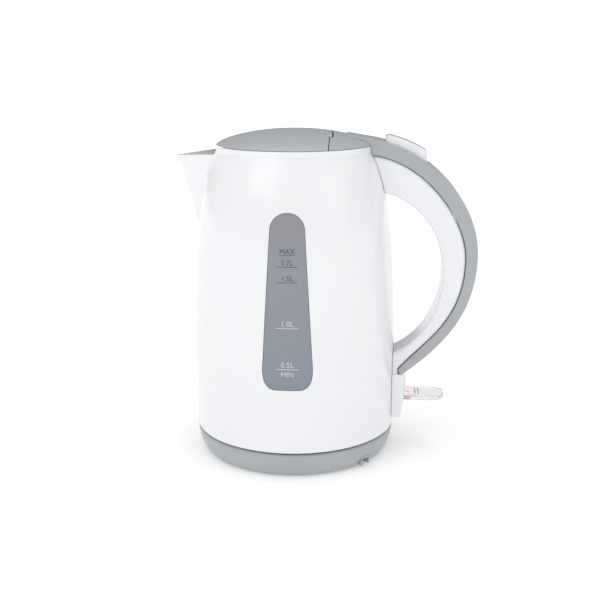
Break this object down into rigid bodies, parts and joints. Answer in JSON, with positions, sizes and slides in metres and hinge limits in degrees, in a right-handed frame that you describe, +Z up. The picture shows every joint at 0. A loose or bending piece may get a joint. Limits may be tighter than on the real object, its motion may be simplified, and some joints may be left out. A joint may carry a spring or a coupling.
{
  "type": "electric kettle",
  "caption": "Cordless electric kettle with domed hinged lid, V spout, side water windows, loop handle with release button and clear switch lever, on a swivel power base.",
  "frame": {"origin": "the kettle's own axis at the height of the table the feet stand on", "axes": "+X towards the handle, -X towards the spout, +Z up"},
  "size_m": [0.2206, 0.1504, 0.2416],
  "materials": {
    "white": "satin moulded white",
    "ivory": "satin moulded off-white",
    "grey": "satin moulded light grey",
    "dark": "fine-textured dark grey",
    "smoke": "smoked translucent",
    "clear": "clear polished",
    "steel": "brushed",
    "aluminium": "cast",
    "brass": "plain",
    "silicone": "translucent silicone",
    "rubber": "matt",
    "mesh": "woven nylon mesh",
    "amber": "glowing lens",
    "nylon": "glass-filled nylon"
  },
  "bodies": {
    "base": {"base_top_shell": "grey", "base_bottom_plate": "dark", "base_foot_0": "rubber", "base_foot_1": "rubber", "base_foot_2": "rubber", "base_foot_3": "rubber", "base_screw_0": "steel", "base_screw_1": "steel", "base_screw_2": "steel", "cord_outlet": "grey", "cord_clamp": "nylon", "base_socket": "nylon", "socket_contact_centre": "brass", "socket_contact_inner": "brass", "socket_contact_outer": "brass"},
    "socket_ring": {"socket_shutter_ring": "dark"},
    "jug": {"jug_body": "white", "window_front": "smoke", "window_back": "smoke", "heater_plate": "steel", "heater_seal": "silicone", "heater_clamp_ring": "nylon", "heat_spreader": "aluminium", "heating_element": "aluminium", "element_tail_0": "steel", "element_tail_1": "steel", "steam_tube": "silicone", "control_body": "nylon", "bimetal_disc_0": "brass", "bimetal_disc_1": "brass", "control_stud": "aluminium", "plug_ring": "brass", "plug_pin": "brass", "bottom_cover": "dark", "cover_screw_0": "steel", "cover_screw_1": "steel", "cover_screw_2": "steel", "handle_core": "ivory", "handle_screw": "steel", "handle_strap": "grey", "button_spring": "steel", "hinge_pin": "steel", "lid_spring": "steel", "mouth_bridge": "ivory", "bridge_screw_0": "steel", "bridge_screw_1": "steel", "lever_pin": "steel"},
    "filter": {"spout_filter_frame": "ivory", "spout_filter_mesh_0": "mesh", "spout_filter_mesh_1": "mesh"},
    "lid": {"lid_outer": "grey", "lid_inner": "ivory", "lid_seal": "silicone"},
    "button": {"lid_button": "ivory"},
    "latch": {"latch_slider": "nylon", "latch_rod": "steel"},
    "lever": {"switch_lever": "clear", "indicator_lamp": "amber"},
    "trip": {"trip_lever": "nylon"}
  },
  "joints": [
    {"name": "base_swivel", "type": "hinge", "parent": "base", "child": "socket_ring", "pos_m": [0, 0, 0], "axis": [0, 0, 1], "continuous": true},
    {"name": "jug_lift", "type": "slide", "parent": "socket_ring", "child": "jug", "axis": [0, 0, 1], "range_m": [0, 0.06]},
    {"name": "lid_hinge", "type": "hinge", "parent": "jug", "child": "lid", "pos_m": [0.026, 0, 0.2374], "axis": [0, 1, 0], "range_deg": [0, 78]},
    {"name": "lid_button_press", "type": "slide", "parent": "jug", "child": "button", "axis": [0, 0, -1], "range_m": [0, 0.003], "stiffness_N_per_m": 800, "springref_m": -0.001, "deforming": ["button_spring"]},
    {"name": "latch_slide", "type": "slide", "parent": "jug", "child": "latch", "axis": [1, 0, 0], "range_m": [0, 0.0024]},
    {"name": "switch_lever_tilt", "type": "hinge", "parent": "jug", "child": "lever", "pos_m": [0.0785, 0, 0.0405], "axis": [0, 1, 0], "range_deg": [0, 14]},
    {"name": "trip_lever_tilt", "type": "hinge", "parent": "jug", "child": "trip", "pos_m": [0.052, 0, 0.0362], "axis": [0, 1, 0], "range_deg": [-18, 0]},
    {"name": "filter_lift", "type": "slide", "parent": "jug", "child": "filter", "axis": [0, 0, 1], "range_m": [0, 0.03]}
  ],
  "couplings": [
    {"joint": "latch_slide", "follows": "lid_button_press", "ratio": 0.8},
    {"joint": "trip_lever_tilt", "follows": "switch_lever_tilt", "ratio": -1.27}
  ]
}
